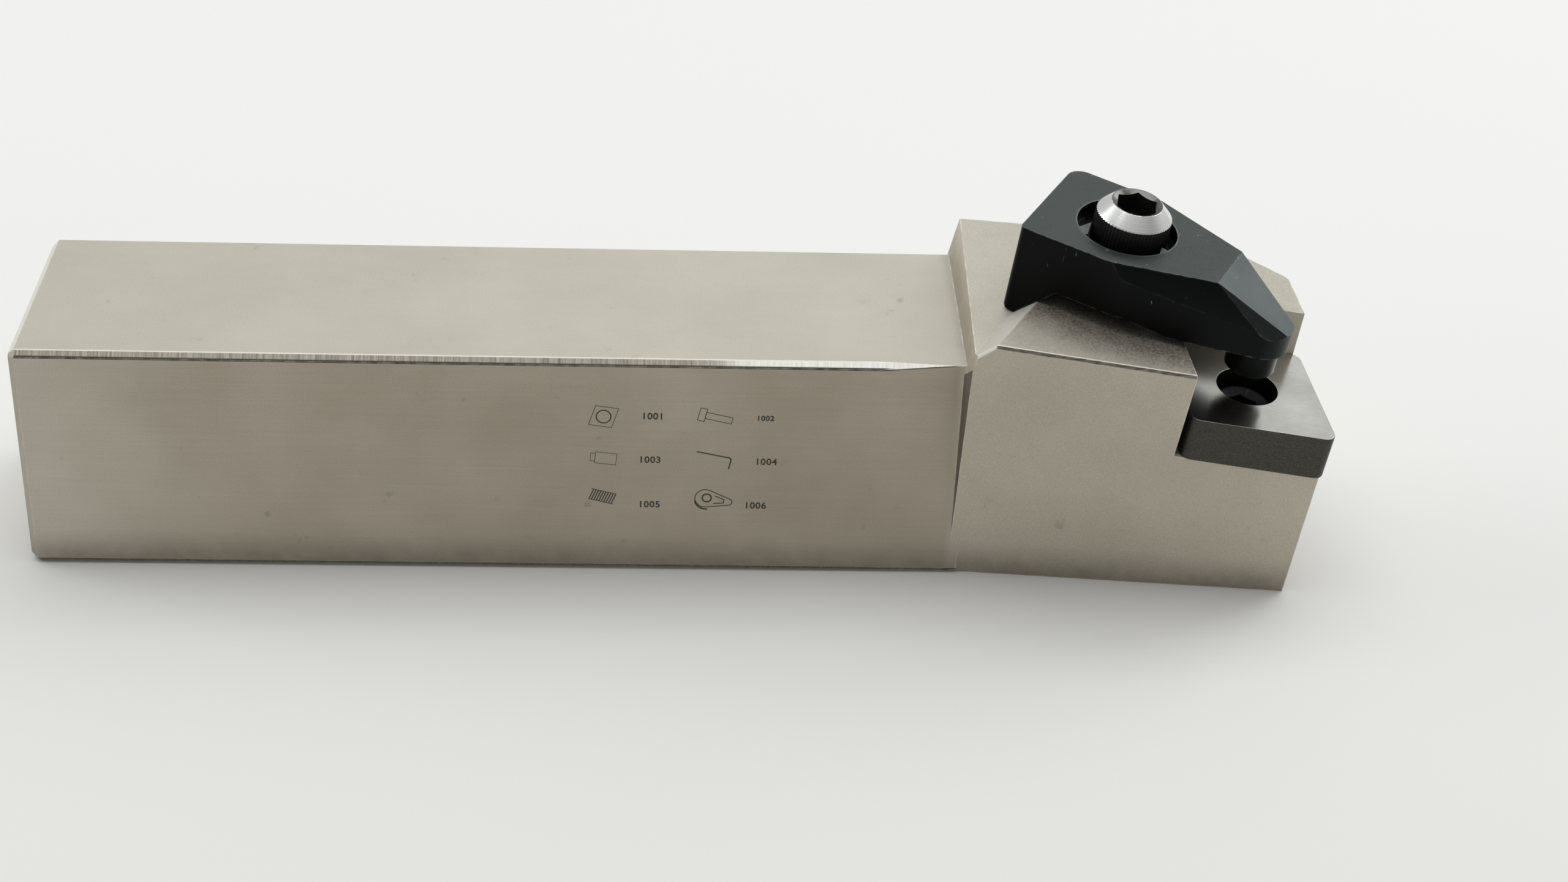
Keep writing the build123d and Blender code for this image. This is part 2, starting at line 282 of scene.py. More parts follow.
def mottle_group():
    """Tone from broad soft clouds, and a mask of sparse smudges where two noises are both high."""
    group, n, given, out = new_group(
        "mottle_and_spots",
        [
            ("Vector", "NodeSocketVector", None),
            ("Cloud Scale", "NodeSocketFloat", 60.0),
            ("Spot Scale", "NodeSocketFloat", 500.0),
            ("Spot Share", "NodeSocketFloat", 0.5),
        ],
        [("Tone", "NodeSocketFloat"), ("Spots", "NodeSocketFloat")],
    )
    n.link(n.noise(given["Vector"], given["Cloud Scale"], 4.0, 0.55), out["Tone"])
    threshold = n.math("SUBTRACT", 0.82, n.math("MULTIPLY", given["Spot Share"], 0.2))
    small = n.noise(given["Vector"], given["Spot Scale"], 3.0, 0.6)
    spot = n.ramp(small, threshold, n.math("ADD", threshold, 0.09))
    wide = n.ramp(n.noise(given["Vector"], n.math("MULTIPLY", given["Spot Scale"], 0.2), 1.0), 0.45, 0.6)
    n.link(n.math("MULTIPLY", spot, wide), out["Spots"])
    return group


def scratch_group():
    """Mask of sparse thin upright scratches: a noise squeezed across and stretched along height, above a
    threshold, kept only where a broad noise is high."""
    group, n, given, out = new_group(
        "fine_scratches",
        [
            ("Vector", "NodeSocketVector", None),
            ("Scale", "NodeSocketFloat", 400.0),
            ("Share", "NodeSocketFloat", 0.5),
        ],
        [("Mask", "NodeSocketFloat")],
    )
    bent = n.vector_math("MULTIPLY", given["Vector"], (5.0, 5.0, 0.9))
    thin = n.noise(bent, given["Scale"], 1.0, 0.5)
    threshold = n.math("SUBTRACT", 0.86, n.math("MULTIPLY", given["Share"], 0.2))
    line = n.ramp(thin, threshold, n.math("ADD", threshold, 0.05))
    wide = n.ramp(n.noise(given["Vector"], n.math("MULTIPLY", given["Scale"], 0.6), 1.0), 0.5, 0.62)
    n.link(n.math("MULTIPLY", line, wide), out["Mask"])
    return group


def seat_axis_group():
    """Place about an axis along the seat normal through a centre. Height is the dot product of the way from
    the centre with the normal, and radius the root of that way's squared length less the squared height."""
    group, n, given, out = new_group(
        "about_seat_axis",
        [("Vector", "NodeSocketVector", None), ("Centre", "NodeSocketVector", None)],
        [("Height", "NodeSocketFloat"), ("Radius", "NodeSocketFloat")],
    )
    from_centre = n.vector_math("SUBTRACT", given["Vector"], given["Centre"])
    height = n.vector_math("DOT_PRODUCT", from_centre, tuple(seat_normal))
    reach = n.vector_math("LENGTH", from_centre)
    squared = n.math("SUBTRACT", n.math("MULTIPLY", reach, reach), n.math("MULTIPLY", height, height))
    n.link(height, out["Height"])
    n.link(n.math("SQRT", squared), out["Radius"])
    return group


def facing_group():
    """How squarely the surface looks in a direction: dot product of its normal with that direction."""
    group, n, given, out = new_group(
        "facing_direction",
        [("Direction", "NodeSocketVector", None)],
        [("Facing", "NodeSocketFloat")],
    )
    normal = n.add("ShaderNodeNewGeometry").outputs["Normal"]
    n.link(n.vector_math("DOT_PRODUCT", normal, given["Direction"]), out["Facing"])
    return group


fine_scratches = scratch_group()
about_seat_axis = seat_axis_group()
facing_direction = facing_group()
rubbed_edges = edge_wear_group()
machined_grain = grain_group()
mottle_and_spots = mottle_group()


def use_group(n, group, **values):
    """Places a group in a material and sets its inputs by name, underscores standing for spaces."""
    node = n.add("ShaderNodeGroup", node_tree=group)
    for key, value in values.items():
        n.put(node.inputs[key.replace("_", " ")], value)
    return node.outputs


def new_material(name, **plain):
    """A material with one Principled BSDF; plain values are set on its own sockets."""
    material = bpy.data.materials.new(name)
    material.use_nodes = True
    n = Nodes(material.node_tree)
    surface = material.node_tree.nodes["Principled BSDF"]
    for key, value in plain.items():
        surface.inputs[key.replace("_", " ")].default_value = value
    return material, n, surface


def bump(n, surface, height, strength, distance):
    """Feeds a height through one Bump node into the surface's normal."""
    node = n.add("ShaderNodeBump")
    node.inputs["Strength"].default_value = strength
    node.inputs["Distance"].default_value = distance
    n.link(height, node.inputs["Height"])
    n.link(node.outputs["Normal"], surface.inputs["Normal"])


# ---- finishes -----------------------------------------------------------------------


# places on the holder, in metres
shank_top = 0.032
shank_side = 0.016
head_face = 0.122
chamfer_full_to = 0.1115
chamfer_end = 0.121
# the head's near side leans forward and inward from this point on it
side_face_point = (0.1296, -0.01611, 0.0)
side_face_inward = tuple(Vector((0.09, 1.0, 0.1228)).normalized())

shadow_brown = (0.035, 0.03, 0.024, 1.0)
# dark brown for painted shade, on the narrow step beside the shank and on the near rear chamfer
shade_brown = (0.17, 0.15, 0.12, 1.0)


def where_on_holder(n):
    """Place and true normal on the holder by their parts, with masks for upright faces and the head. Slant
    is the product of the normal's sizes along Y and Z, one half on a face that leans evenly between them."""
    here = n.place()
    place = n.add("ShaderNodeSeparateXYZ")
    n.link(here, place.inputs[0])
    normal = n.add("ShaderNodeNewGeometry").outputs["True Normal"]
    lean = n.add("ShaderNodeSeparateXYZ")
    n.link(normal, lean.inputs[0])
    steepness = n.math("ABSOLUTE", lean.outputs["Z"])
    return SimpleNamespace(
        here=here,
        x=place.outputs["X"],
        y=place.outputs["Y"],
        z=place.outputs["Z"],
        normal=normal,
        lean_x=lean.outputs["X"],
        lean_y=lean.outputs["Y"],
        lean_z=lean.outputs["Z"],
        upright=n.ramp(steepness, 0.5, 0.2),
        head=n.ramp(place.outputs["X"], head_face - 0.001, head_face),
        slant=n.math("MULTIPLY", n.math("ABSOLUTE", lean.outputs["Y"]), steepness),
    )


def plain_faces(n, at, cloud, grain):
    """Pale on top, browner on the sides, with fine grain. The sides are painted paler towards the shank's
    rear end and on the head: painted light.
    """
    top = n.mix(cloud, (0.405, 0.386, 0.33, 1.0), (0.445, 0.426, 0.367, 1.0))
    side = n.mix(cloud, (0.424, 0.373, 0.295, 1.0), (0.473, 0.421, 0.341, 1.0))
    # painted light: the sides lighter towards the shank's rear end
    rear = n.ramp(at.x, 0.0, 0.03, 0.34, 0.0, smooth=True)
    side_lit_at_rear = n.mix(rear, side, (0.75, 0.72, 0.64, 1.0))
    # painted light: the head's upright faces a little lighter
    side_or_head = n.mix(n.math("MULTIPLY", at.head, 0.17), side_lit_at_rear, (1.0, 0.95, 0.84, 1.0))
    plain = n.mix(at.upright, top, side_or_head)
    return n.mix(0.15, plain, n.ramp(grain, 0.36, 0.64), "OVERLAY")


def shaded_foot(n, at, below):
    """Sides darkened in patches towards the face the tool rests on: painted shade near the floor."""
    foot = n.ramp(at.z, 0.006, 0.0, smooth=True)
    patchy = n.ramp(n.noise(at.here, 350.0, 3.0, 0.6), 0.2, 0.7, 0.55, 1.0)
    foot_shade = n.math("MULTIPLY", n.math("MULTIPLY", at.upright, foot), patchy)
    return n.mix(n.math("MULTIPLY", foot_shade, 0.55), below, (0.10, 0.09, 0.07, 1.0))


def dirt_and_shadow_round_clamp(n, at, below):
    """Oily dirt on the land with painted shadow of the clamp laid in, darkest towards the middle of the
    clamp, a thin film behind the clamp's foot, and a patchy brown darkening low on the shoulder above the
    shank."""
    spread = (0.030, 0.016, 1.0)
    from_clamp = n.place(centre=tuple(clamp_foot), turn=(0.0, 0.0, clamp_angle), scale=spread)
    split = n.add("ShaderNodeSeparateXYZ")
    n.link(from_clamp, split.inputs[0])
    along_clamp = split.outputs["X"]
    level = n.vector_math("DOT_PRODUCT", at.normal, tuple(seat_normal))
    land = n.math("MULTIPLY", n.ramp(level, 0.995, 0.999), n.ramp(along_clamp, -0.25, -0.23))
    # painted shadow of the clamp: the land gets darker towards the middle of the clamp, over the oily dirt
    reach = n.ramp(n.vector_math("LENGTH", from_clamp), 0.62, 1.12, 1.0, 0.0, smooth=True)
    oil_and_clamp_shadow = n.math("MULTIPLY", n.math("ADD", n.math("MULTIPLY", reach, 0.7), 0.29), land)
    patches = n.ramp(n.noise(at.here, 420.0, 4.0, 0.65), 0.3, 0.7, 0.7, 1.15)
    speckle = n.math("MULTIPLY", n.ramp(n.noise(at.here, 3000.0, 5.0, 0.8), 0.25, 0.62), patches)
    oiled_and_shadowed = n.mix(n.math("MULTIPLY", oil_and_clamp_shadow, speckle), below, (0.072, 0.058, 0.038, 1.0))
    behind = n.math("MULTIPLY", n.ramp(along_clamp, -0.23, -0.25), n.ramp(at.lean_z, 0.3, 0.5))
    film = n.math("MULTIPLY", n.math("MULTIPLY", behind, at.head), 0.1)
    filmed = n.mix(film, oiled_and_shadowed, (0.12, 0.10, 0.07, 1.0))
    # darker brown low on the shoulder, in the corner above the shank top
    above_shank = n.ramp(at.z, shank_top - 0.0002, shank_top + 0.0001)
    shoulder = n.math("MULTIPLY", n.ramp(at.lean_x, -0.5, -0.7), above_shank)
    low = n.ramp(at.z, shank_top + 0.0055, shank_top + 0.0015, 0.0, 0.45, smooth=True)
    corner = n.math("MULTIPLY", shoulder, low)
    return n.mix(n.math("MULTIPLY", corner, patches), filmed, (0.20, 0.17, 0.12, 1.0))


def shaded_step(n, at, below):
    """The narrow step beside the shank, painted dark brown: painted shade in its corner against the shank's
    near side.
    """
    step = n.math("MULTIPLY", n.ramp(at.lean_y, -0.05, -0.12), n.ramp(at.lean_x, -0.9, -0.95))
    return n.mix(n.math("MULTIPLY", step, at.head), below, shade_brown)


def long_chamfers(n, at, below):
    """Cross-cut chamfers along the shank, with a painted shadow line at the outer edge and a painted
    highlight line at the inner one.
    The near upper one is painted bright towards the head as a painted reflection, and a painted shade line
    runs under it, which rises where it narrows away."""
    before_head = n.ramp(at.x, head_face + 0.0002, head_face - 0.0002)
    band = n.math("MULTIPLY", n.ramp(at.slant, 0.42, 0.48), before_head)
    across = n.vector_math("MULTIPLY", at.here, (1.0, 0.04, 0.04))
    ticks = n.ramp(n.noise(across, 4200.0, 4.0, 0.75), 0.32, 0.68)
    cut_tone = n.mix(ticks, (0.19, 0.17, 0.135, 1.0), (0.50, 0.47, 0.40, 1.0))
    # painted reflection: the near upper chamfer bright towards the head
    painted_reflection = n.mix(ticks, (0.70, 0.69, 0.64, 1.0), (0.92, 0.91, 0.87, 1.0))
    towards_head = n.ramp(at.x, 0.088, 0.095, smooth=True)
    near_upper = n.math("MULTIPLY", n.ramp(at.y, 0.0, -0.001), n.ramp(at.z, 0.015, 0.017))
    cut = n.mix(n.math("MULTIPLY", towards_head, near_upper), cut_tone, painted_reflection)
    from_middle = n.math("ABSOLUTE", at.y)
    run_out = n.ramp(at.x, chamfer_full_to, chamfer_full_to + 0.0015)
    # painted shadow line along the outer edge of each chamfer, painted highlight line along the inner edge
    at_side = n.ramp(from_middle, shank_side - 0.00024, shank_side - 0.00014)
    outer = n.math("SUBTRACT", at_side, run_out, clamp=True)
    inner = n.ramp(from_middle, shank_side - 0.00067, shank_side - 0.00074)
    with_highlight_line = n.mix(inner, n.mix(outer, cut, shadow_brown), (0.85, 0.84, 0.79, 1.0))
    banded = n.mix(band, below, with_highlight_line)
    ended = rear_chamfers(n, at, banded)
    # painted shade: a dark line on the near side just under the chamfer
    band_foot = n.ramp(at.x, chamfer_full_to, chamfer_end, shank_top - 0.0008, shank_top)
    on_line = n.ramp(n.math("SUBTRACT", band_foot, at.z), 0.00016, 0.0001)
    on_near_side = n.ramp(at.y, 0.00005 - shank_side, 0.00002 - shank_side)
    shank_only = n.ramp(at.x, chamfer_end + 0.0005, chamfer_end - 0.0005)
    line = n.math("MULTIPLY", n.math("MULTIPLY", on_line, on_near_side), shank_only)
    shade_under_band = n.math("MULTIPLY", line, n.math("SUBTRACT", 1.0, band))
    return n.mix(shade_under_band, ended, (0.05, 0.043, 0.034, 1.0))


def rear_chamfers(n, at, below):
    """Chamfers round the rear end: the upper one painted bright as a painted highlight, the near one painted
    dark as painted shade.
    """
    rearward = n.ramp(at.lean_x, -0.5, -0.6)
    above = n.math("MULTIPLY", rearward, n.ramp(at.lean_z, 0.5, 0.6))
    beside = n.math("MULTIPLY", rearward, n.ramp(at.lean_y, -0.5, -0.6))
    top_highlighted = n.mix(n.math("MULTIPLY", above, 0.6), below, (0.80, 0.79, 0.75, 1.0))
    return n.mix(n.math("MULTIPLY", beside, 0.3), top_highlighted, shade_brown)


def head_rim(n, at, below):
    """The narrow break between the head's near side and the faces above it, dark and streaky, with a bright
    painted highlight line behind it. Depth is the distance behind the near side."""
    rim = n.math("MULTIPLY", n.ramp(at.slant, 0.38, 0.44), at.head)
    along = n.vector_math("MULTIPLY", at.here, (0.15, 1.0, 1.0))
    streaks = n.ramp(n.noise(along, 5200.0, 3.0, 0.7), 0.35, 0.65)
    rim_tone = n.mix(streaks, shadow_brown, (0.20, 0.18, 0.15, 1.0))
    from_side = n.vector_math("SUBTRACT", at.here, side_face_point)
    depth = n.vector_math("DOT_PRODUCT", from_side, side_face_inward)
    # painted highlight: a bright line on the faces just behind the rim
    beside_rim = n.math("MULTIPLY", n.ramp(depth, 0.00058, 0.0005), n.ramp(at.lean_z, 0.5, 0.6))
    with_highlight_line = n.mix(n.math("MULTIPLY", beside_rim, at.head), below, (0.66, 0.63, 0.56, 1.0))
    return n.mix(rim, with_highlight_line, rim_tone)


def satin_body_steel():
    """Warm grey satin steel with oily dirt, cut chamfers, a dark rim, smudges and rubbed edges, and painted
    light and shade: paler sides at the rear end and on the head, shade at the foot, on the narrow step and
    under the clamp, and highlights along the chamfers and the rim.
    """
    material, n, surface = new_material("satin_body_steel", Metallic=0.5)
    at = where_on_holder(n)
    here = at.here
    mottle = use_group(n, mottle_and_spots, Vector=here, Cloud_Scale=55.0, Spot_Scale=320.0, Spot_Share=0.8)
    wear = use_group(n, rubbed_edges, Vector=here, Width=0.0003, Breakup_Scale=700.0, Amount=1.0)
    lines = n.ramp(n.math("SUBTRACT", at.upright, at.head), 0.0, 1.0, 0.04, 0.12)
    grain = use_group(n, machined_grain, Vector=here, Grain_Scale=9000.0, Line_Scale=3300.0, Line_Share=lines)
    tone = plain_faces(n, at, n.ramp(mottle["Tone"], 0.35, 0.65), grain["Height"])
    for layer in (shaded_foot, dirt_and_shadow_round_clamp, shaded_step, long_chamfers, head_rim):
        tone = layer(n, at, tone)
    smudged = n.mix(n.math("MULTIPLY", mottle["Spots"], 0.42), tone, (0.16, 0.145, 0.115, 1.0))
    rubbed = n.mix(n.math("MULTIPLY", wear["Mask"], 0.75), smudged, (0.78, 0.76, 0.70, 1.0))
    n.link(rubbed, surface.inputs["Base Color"])
    n.link(n.ramp(mottle["Tone"], 0.3, 0.7, 0.60, 0.52), surface.inputs["Roughness"])
    bump(n, surface, grain["Height"], 0.3, 0.00003)
    return material


def blackened_clamp_steel():
    """Blue-black finish with faint clouds, rubbed edges and a few pale nicks. Faces that look up from the
    seat or towards the nose are painted lighter as a painted sheen; the screw's recess is painted near black
    as shade, with a painted highlight on its rim."""
    material, n, surface = new_material("blackened_clamp_steel", Metallic=1.0)
    here = n.place()
    mottle = use_group(n, mottle_and_spots, Vector=here, Cloud_Scale=120.0, Spot_Scale=900.0, Spot_Share=0.55)
    wear = use_group(n, rubbed_edges, Vector=here, Width=0.0003, Breakup_Scale=800.0, Amount=1.0)
    grain = use_group(n, machined_grain, Vector=here, Grain_Scale=5000.0, Line_Scale=3000.0, Line_Share=0.2)
    scratch = use_group(n, fine_scratches, Vector=here, Scale=420.0, Share=0.58)
    upward = use_group(n, facing_direction, Direction=tuple(seat_normal))["Facing"]
    noseward = use_group(n, facing_direction, Direction=tuple(clamp_x))["Facing"]
    # painted sheen: faces looking up from the seat or towards the nose get the lighter colour
    painted_sheen_facing = n.math("MAXIMUM", n.ramp(upward, 0.4, 0.86), n.ramp(noseward, 0.35, 0.95, 0.0, 0.33))
    grained = n.math("MULTIPLY", painted_sheen_facing, n.ramp(grain["Height"], 0.35, 0.65, 0.78, 1.22))
    clouded = n.math("MULTIPLY", grained, n.ramp(mottle["Tone"], 0.35, 0.65, 0.88, 1.1))
    black = n.mix(clouded, (0.0104, 0.0113, 0.0112, 1.0), (0.0555, 0.0655, 0.064, 1.0))
    marks = n.math("MAXIMUM", n.math("MULTIPLY", mottle["Spots"], 0.5), scratch["Mask"])
    nicked = n.mix(marks, black, (0.30, 0.30, 0.29, 1.0))
    recess_centre = clamp_foot - clamp_x * 0.45 * MM
    recess_radius, recess_rim = (0.00685, 0.00675), (0.00982, 0.00975)
    recess = use_group(n, about_seat_axis, Vector=here, Centre=tuple(recess_centre))
    within = n.ramp(recess["Radius"], *recess_radius)
    # painted shade: the recess round the screw is near black
    recess_shade = n.math("MULTIPLY", within, n.ramp(recess["Height"], *recess_rim))
    # painted highlight: a broken lighter ring round the recess rim
    rim = n.math("MULTIPLY", n.math("SUBTRACT", within, recess_shade), n.noise(here, 1500.0, 3.0, 0.7))
    rim_highlighted = n.mix(n.math("MULTIPLY", rim, 0.3), nicked, (0.35, 0.36, 0.36, 1.0))
    shaded_recess = n.mix(recess_shade, rim_highlighted, (0.004, 0.004, 0.004, 1.0))
    rubbed = n.mix(n.math("MULTIPLY", wear["Mask"], 0.6), shaded_recess, (0.20, 0.205, 0.205, 1.0))
    n.link(rubbed, surface.inputs["Base Color"])
    n.link(n.ramp(mottle["Tone"], 0.3, 0.7, 0.44, 0.36), surface.inputs["Roughness"])
    bump(n, surface, grain["Height"], 0.2, 0.00002)
    return material


def black_screw_steel():
    """Black oxide of the screws, dull, a little worn on the crests of knurl and thread."""
    material, n, surface = new_material("black_screw_steel", Metallic=0.0, IOR=1.3)
    here = n.place()
    mottle = use_group(n, mottle_and_spots, Vector=here, Cloud_Scale=300.0, Spot_Scale=900.0, Spot_Share=0.3)
    dark = n.mix(mottle["Tone"], (0.004, 0.004, 0.004, 1.0), (0.012, 0.012, 0.012, 1.0))
    n.link(n.mix(mottle["Spots"], dark, (0.05, 0.05, 0.05, 1.0)), surface.inputs["Base Color"])
    n.link(n.ramp(mottle["Tone"], 0.3, 0.7, 0.5, 0.4), surface.inputs["Roughness"])
    return material


def turned_cone_steel():
    """Bright turned steel of the screw's cone, with rings round the screw's axis and a dark socket mouth."""
    material, n, surface = new_material("turned_cone_steel", Metallic=1.0)
    here = n.place()
    turned = use_group(n, about_seat_axis, Vector=here, Centre=tuple(clamp_foot))
    jagged = n.math("MULTIPLY", n.noise(here, 2600.0, 2.0), 0.00016)
    mouth = n.ramp(n.math("SUBTRACT", turned["Radius"], jagged), 0.0033, 0.00324)
    rings = n.add("ShaderNodeTexNoise", noise_dimensions="1D")
    n.link(turned["Height"], rings.inputs["W"])
    rings.inputs["Scale"].default_value = 11000.0
    rings.inputs["Detail"].default_value = 3.0
    tone = n.ramp(rings.outputs["Fac"], 0.35, 0.65)
    bright = n.mix(tone, (0.70, 0.71, 0.70, 1.0), (0.88, 0.89, 0.88, 1.0))
    n.link(n.mix(mouth, bright, (0.10, 0.10, 0.098, 1.0)), surface.inputs["Base Color"])
    n.link(n.ramp(rings.outputs["Fac"], 0.3, 0.7, 0.3, 0.22), surface.inputs["Roughness"])
    bump(n, surface, rings.outputs["Fac"], 0.25, 0.00002)
    return material


def ground_shim_carbide():
    """Grey carbide: ground top with fine lines, faint clouds and small pores, and dark sintered sides."""
    material, n, surface = new_material("ground_shim_carbide", Metallic=1.0)
    here = n.place(turn=(0.0, 0.0, insert_angle))
    mottle = use_group(n, mottle_and_spots, Vector=here, Cloud_Scale=180.0, Spot_Scale=2500.0, Spot_Share=0.8)
    wear = use_group(n, rubbed_edges, Vector=here, Width=0.00025, Breakup_Scale=900.0, Amount=0.7)
    grain = use_group(n, machined_grain, Vector=here, Grain_Scale=8000.0, Line_Scale=6000.0, Line_Share=0.6)
    upward = use_group(n, facing_direction, Direction=tuple(seat_normal))["Facing"]
    flat = n.ramp(upward, 0.9, 0.985)
    ground = n.mix(n.ramp(mottle["Tone"], 0.35, 0.65), (0.37, 0.37, 0.345, 1.0), (0.45, 0.45, 0.425, 1.0))
    speckle = n.ramp(n.noise(here, 6000.0, 4.0, 0.75), 0.4, 0.75)
    sintered = n.mix(speckle, (0.05, 0.046, 0.039, 1.0), (0.115, 0.11, 0.098, 1.0))
    grey = n.mix(flat, sintered, ground)
    fine = n.mix(0.2, grey, grain["Height"], "OVERLAY")
    pored = n.mix(n.math("MULTIPLY", mottle["Spots"], 0.4), fine, (0.12, 0.12, 0.115, 1.0))
    rubbed = n.mix(n.math("MULTIPLY", wear["Mask"], 0.2), pored, (0.7, 0.7, 0.68, 1.0))
    n.link(rubbed, surface.inputs["Base Color"])
    n.link(n.ramp(upward, 0.9, 0.985, 0.45, 0.2), surface.inputs["Roughness"])
    bump(n, surface, grain["Height"], 0.12, 0.00001)
    return material


def drawn_spring_wire():
    """Grey drawn wire with fine lines."""
    material, n, surface = new_material("drawn_spring_wire", Metallic=1.0)
    here = n.place()
    grain = use_group(n, machined_grain, Vector=here, Grain_Scale=7000.0, Line_Scale=3000.0, Line_Share=0.3)
    n.link(n.mix(grain["Height"], (0.2, 0.2, 0.21, 1.0), (0.4, 0.4, 0.41, 1.0)), surface.inputs["Base Color"])
    n.link(n.ramp(grain["Height"], 0.3, 0.7, 0.3, 0.45), surface.inputs["Roughness"])
    return material


def laser_mark():
    """Brown-grey laser marking, uneven in depth."""
    material, n, surface = new_material("laser_mark", Metallic=0.3)
    here = n.place()
    mottle = use_group(n, mottle_and_spots, Vector=here, Cloud_Scale=900.0, Spot_Scale=4000.0, Spot_Share=0.5)
    burnt = n.mix(mottle["Tone"], (0.022, 0.019, 0.014, 1.0), (0.085, 0.075, 0.058, 1.0))
    n.link(burnt, surface.inputs["Base Color"])
    n.link(n.ramp(mottle["Tone"], 0.3, 0.7, 0.65, 0.5), surface.inputs["Roughness"])
    return material


body_steel = satin_body_steel()
clamp_steel = blackened_clamp_steel()
screw_black = black_screw_steel()
cone_steel = turned_cone_steel()
shim_carbide = ground_shim_carbide()
spring_wire_steel = drawn_spring_wire()
mark_ink = laser_mark()

# ---- holder body, shim and clamp ---------------------------------------------------

holder_body = refined_copy("holder_body", "holder_body_machined", 0.12, body_steel)
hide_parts("holder_body")
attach(holder_body, "holder")

shim = refined_copy("shim", "shim_ground", 0.12, shim_carbide)
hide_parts("shim")
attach(shim, "holder")

clamp = refined_copy("clamp", "clamp_forged", 0.16, clamp_steel)
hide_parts("clamp")
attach(clamp, "clamp")

# ---- screws ------------------------------------------------------------------------


def hexagon(angle, across_flats):
    """Distance from the axis to a hexagon's wall: half the width across flats, divided by the cosine of the
    angle from the nearest flat's middle."""
    sixth = math.pi / 3
    return across_flats / 2 / np.cos((angle + sixth / 2) % sixth - sixth / 2)


def threaded_rows(angle, top, bottom, diameter, pitch, depth, point):
    """Rows of a screw thread from bottom to top. Radius = crest less the depth times a triangle wave of
    (height / pitch + turn), shrunk at the free end by the point's chamfer and faded out under the head."""
    per_pitch = 8
    height = np.arange(bottom, top, pitch / per_pitch)[:, None]
    phase = (height / pitch - angle[None, :] / (2 * math.pi)) % 1.0
    groove = np.abs(phase * 2 - 1)
    fade = np.clip((top - height) / (1.5 * pitch), 0.0, 1.0)
    radius = diameter / 2 - depth * groove * fade
    radius = np.minimum(radius, diameter / 2 - point + (height - bottom))
    return radius, height + 0 * radius


m6_thread = {"diameter": 6.0, "pitch": 1.0, "depth": 0.55, "point": 0.8}


def socket_screw(name, origin, x_dir, seat, profile, length, socket, teeth, materials, bright_from):
    """A socket screw turned round the seat normal. Its surface is radius(row, angle) at height(row, angle):
    thread, the head's turned profile with straight teeth cut in its side, then the hexagon socket.
    profile lists (radius, height, depth of teeth) from under the head to the rim, in mm, and bright_from is
    its first row of bright metal."""
    around = teeth * 4
    angle = np.arange(around) * 2 * math.pi / around
    end = seat - length
    radius, height = threaded_rows(angle, seat, end, **m6_thread)
    notch = 0.5 - 0.5 * np.cos(angle * teeth)
    head_radius = np.array([r - cut * notch for r, h, cut in profile])
    head_height = np.array([h + 0 * angle for r, h, cut in profile])
    wall = hexagon(angle - socket["turn"], socket["across"])
    rim, rim_height = profile[-1][0], profile[-1][1]
    mouth_drop = (rim - socket["land"] - wall) * math.tan(math.radians(30.0))
    floor_height = rim_height - socket["depth"]
    socket_radius = np.array([
        rim - socket["land"] + 0 * wall,
        wall,
        wall,
        wall * 0.72,
    ])
    socket_height = np.array([
        rim_height + 0 * wall,
        rim_height - mouth_drop,
        floor_height + 0 * wall,
        floor_height - 0.15 + 0 * wall,
    ])
    radius = np.concatenate([radius, head_radius, socket_radius])
    height = np.concatenate([height, head_height, socket_height])
    rings = np.stack([radius * np.cos(angle), radius * np.sin(angle), height], -1)
    tip = (0.0, 0.0, end)
    floor = (0.0, 0.0, floor_height - 0.7)
    vertices, faces = closed_rings(rings, tip, floor)
    # material 1 is the bright turned part of the head, from the cone's foot to the socket's mouth
    row_zone = np.zeros(len(radius) - 1, int)
    first = len(radius) - len(socket_radius) - len(profile) + bright_from
    row_zone[first:len(radius) - 3] = 1
    zones = np.concatenate([np.repeat(row_zone, around), np.zeros(2 * around, int)])
    return new_piece(name, on_seat(vertices, origin, x_dir), faces, materials, zones, 30.0)


clamp_screw = socket_screw(
    "clamp_screw_turned",
    origin=clamp_foot,
    x_dir=clamp_x,
    seat=7.93,
    profile=[
        (3.0, 7.93, 0.0),
        (4.75, 7.93, 0.0),
        (4.95, 8.2, 0.12),
        (5.0, 8.3, 0.12),
        (5.0, 12.12, 0.12),
        (4.97, 12.17, 0.09),
        (4.86, 12.29, 0.0),
        (4.82, 12.335, 0.0),
        (3.47, 13.79, 0.0),
        (3.38, 13.88, 0.0),
        (3.3, 13.9, 0.0),
    ],
    length=20.0,
    socket={"across": 5.0, "land": 0.06, "depth": 3.2, "turn": math.radians(18.0)},
    teeth=64,
    materials=[screw_black, cone_steel],
    bright_from=5,
)
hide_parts("clamp_screw")
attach(clamp_screw, "clamp_screw")

# middle of the shim's top face, in metres, where the shim screw's axis leaves the shim
shim_screw_axis = np.array((0.15958744, -0.0129586, 0.02783514))
shim_screw = socket_screw(
    "shim_screw_turned",
    origin=shim_screw_axis,
    x_dir=insert_x,
    seat=-4.67,
    profile=[
        (3.0, -4.67, 0.0),
        (3.7, -4.67, 0.0),
        (3.8, -4.57, 0.0),
        (3.8, -2.75, 0.0),
        (3.45, -2.4, 0.0),
    ],
    length=14.0,
    socket={"across": 4.0, "land": 0.3, "depth": 1.9, "turn": 0.0},
    teeth=40,
    materials=[screw_black, screw_black],
    bright_from=1,
)
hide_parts("shim_screw")
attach(shim_screw, "holder")

# ---- spring ------------------------------------------------------------------------


